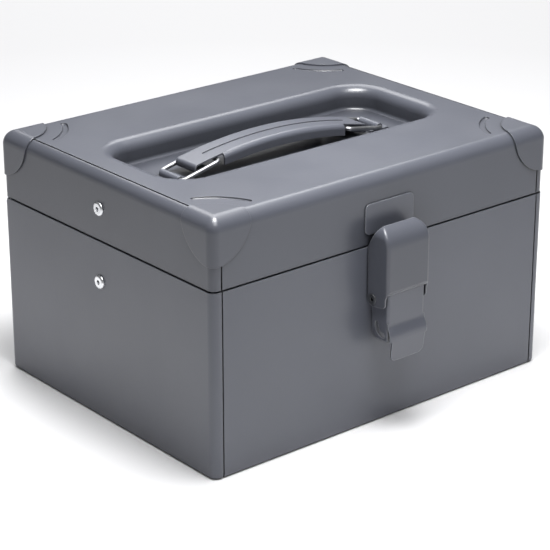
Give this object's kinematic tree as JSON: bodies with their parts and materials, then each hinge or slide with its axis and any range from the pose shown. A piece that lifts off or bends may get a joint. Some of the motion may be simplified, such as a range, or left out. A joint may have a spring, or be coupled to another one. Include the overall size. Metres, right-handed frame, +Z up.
{
  "type": "metal tool box",
  "caption": "Portable sheet-steel tool box with hinged lid, corner caps, recessed folding handle, front draw latch and folding lid stay.",
  "frame": {"origin": "centre of the flat base", "axes": "+X to the right along the front, +Y from front to back, +Z up"},
  "size_m": [0.2923, 0.2526, 0.1751],
  "materials": {
    "body_paint": "satin",
    "lid_paint": "satin",
    "grip_paint": "satin",
    "latch_paint": "satin",
    "wire_zinc": "bright zinc plate",
    "rivet_bright": "bright",
    "plated_steel": "zinc plate"
  },
  "bodies": {
    "case": {"body_shell": "body_paint", "body_end_left": "body_paint", "body_end_right": "body_paint", "inner_rim": "body_paint", "hinge_leaf_body": "body_paint", "hinge_pin": "plated_steel", "latch_bracket": "latch_paint", "latch_lever_pin": "plated_steel", "latch_bracket_rivets": "plated_steel", "stay_body_rivet": "rivet_bright", "stay_body_washer": "plated_steel", "stay_anchor": "plated_steel"},
    "lid": {"lid_shell": "lid_paint", "lid_end_left": "lid_paint", "lid_end_right": "lid_paint", "corner_cap_front_left": "lid_paint", "corner_cap_front_right": "lid_paint", "corner_cap_rear_left": "lid_paint", "corner_cap_rear_right": "lid_paint", "keeper_plate": "lid_paint", "hinge_leaf_lid": "body_paint", "handle_clip_left": "lid_paint", "handle_clip_right": "lid_paint", "stay_lid_rivet": "rivet_bright", "stay_lid_washer": "plated_steel"},
    "grip": {"handle_grip": "grip_paint"},
    "bail_left": {"handle_bail_left": "wire_zinc"},
    "bail_right": {"handle_bail_right": "wire_zinc"},
    "lever": {"latch_lever": "latch_paint", "latch_eyelets": "latch_paint"},
    "hook": {"latch_hook_cover": "latch_paint", "latch_hook_claw": "latch_paint"},
    "lower_link": {"stay_lower_link": "plated_steel", "stay_knee_rivet": "plated_steel"},
    "upper_link": {"stay_upper_link": "plated_steel"}
  },
  "joints": [
    {"name": "lid_hinge", "type": "hinge", "parent": "case", "child": "lid", "pos_m": [0, 0.1125, 0.1275], "axis": [-1, 0, 0], "range_deg": [0, 90]},
    {"name": "latch_lever_turn", "type": "hinge", "parent": "case", "child": "lever", "pos_m": [0, -0.1215, 0.112], "axis": [-1, 0, 0], "range_deg": [0, 46]},
    {"name": "latch_hook_turn", "type": "hinge", "parent": "lever", "child": "hook", "pos_m": [0, -0.121, 0.0925], "axis": [1, 0, 0], "range_deg": [0, 49.3]},
    {"name": "handle_lift", "type": "slide", "parent": "lid", "child": "grip", "axis": [0, 0, 1], "range_m": [0, 0.018]},
    {"name": "bail_left_turn", "type": "hinge", "parent": "lid", "child": "bail_left", "pos_m": [-0.088, 0, 0.1595], "axis": [0, -1, 0], "range_deg": [0, 35]},
    {"name": "bail_right_turn", "type": "hinge", "parent": "lid", "child": "bail_right", "pos_m": [0.088, 0, 0.1595], "axis": [0, 1, 0], "range_deg": [0, 34]},
    {"name": "stay_lower_turn", "type": "hinge", "parent": "case", "child": "lower_link", "pos_m": [-0.1408, 0.003, 0.0988], "axis": [-1, 0, 0], "range_deg": [0, 90]},
    {"name": "stay_upper_turn", "type": "hinge", "parent": "lid", "child": "upper_link", "pos_m": [-0.139, 0.0022, 0.1496], "axis": [1, 0, 0], "range_deg": [0, 90]}
  ],
  "couplings": [
    {"joint": "latch_hook_turn", "follows": "latch_lever_turn", "ratio": 1.07},
    {"joint": "bail_left_turn", "follows": "handle_lift", "rad_per_m": 33.317},
    {"joint": "bail_right_turn", "follows": "handle_lift", "rad_per_m": 32.172},
    {"joint": "stay_lower_turn", "follows": "lid_hinge", "ratio": 1},
    {"joint": "stay_upper_turn", "follows": "lid_hinge", "ratio": 1}
  ]
}
